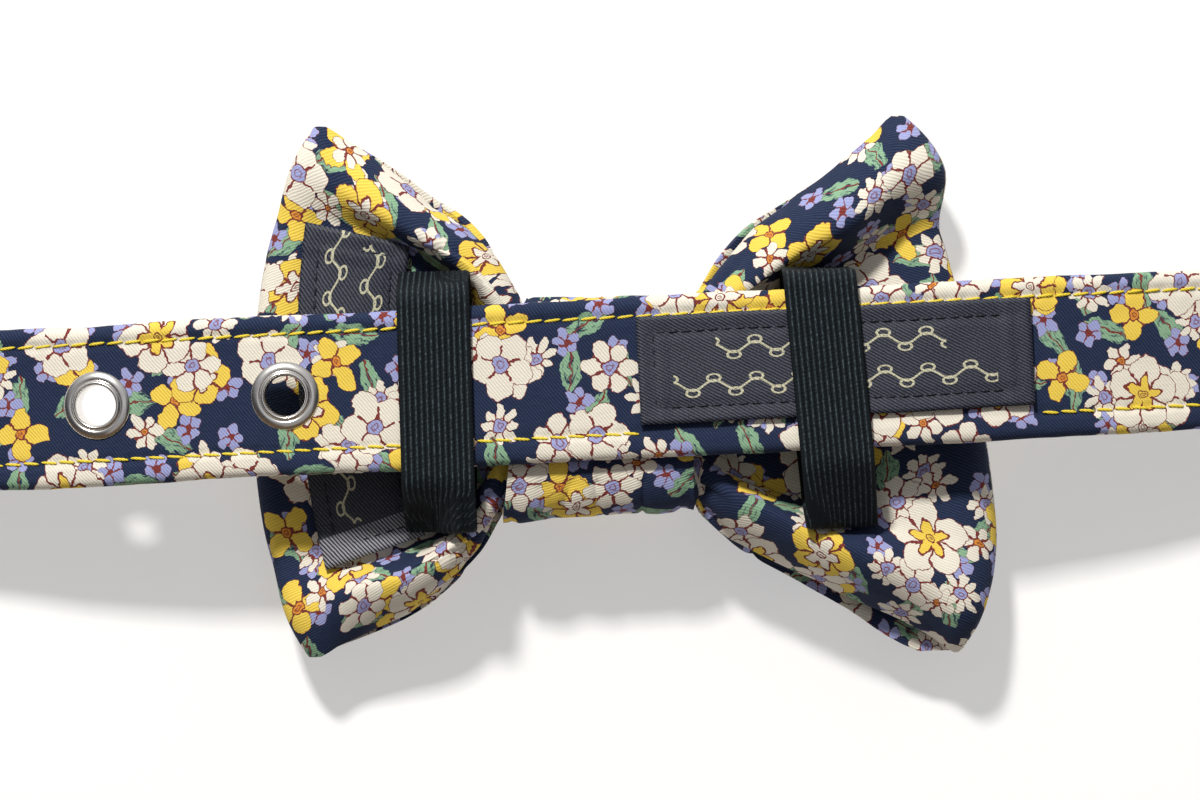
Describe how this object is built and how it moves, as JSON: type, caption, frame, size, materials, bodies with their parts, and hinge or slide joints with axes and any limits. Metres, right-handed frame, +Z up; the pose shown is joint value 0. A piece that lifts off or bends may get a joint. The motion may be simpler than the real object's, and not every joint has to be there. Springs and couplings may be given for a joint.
{
  "type": "pet bow tie collar",
  "caption": "Open pet collar of floral printed cotton with a folded bow tie held on by two elastic loops, eyelets at one end and a wire buckle at the other.",
  "frame": {"origin": "the middle of the knot's flat front face, on the surface that the collar lies on", "axes": "+X along the strap from the eyelets to the buckle, +Y across the strap, +Z up, from the bow to the strap's inner face"},
  "size_m": [0.4502, 0.0907, 0.0282],
  "materials": {
    "printed_cotton": "matt twill cotton with a small floral print",
    "black_elastic": "ribbed woven elastic",
    "woven_label": "woven satin ribbon",
    "eyelet_steel": "bright nickel plate",
    "buckle_steel": "bright nickel plate"
  },
  "bodies": {
    "root": {"strap": "printed_cotton", "bow": "printed_cotton", "knot": "printed_cotton", "elastic_left": "black_elastic", "elastic_right": "black_elastic", "strap_label": "woven_label", "bow_label": "woven_label", "buckle": "buckle_steel", "eyelet_1": "eyelet_steel", "eyelet_2": "eyelet_steel", "eyelet_3": "eyelet_steel", "eyelet_4": "eyelet_steel", "eyelet_5": "eyelet_steel"}
  },
  "joints": []
}
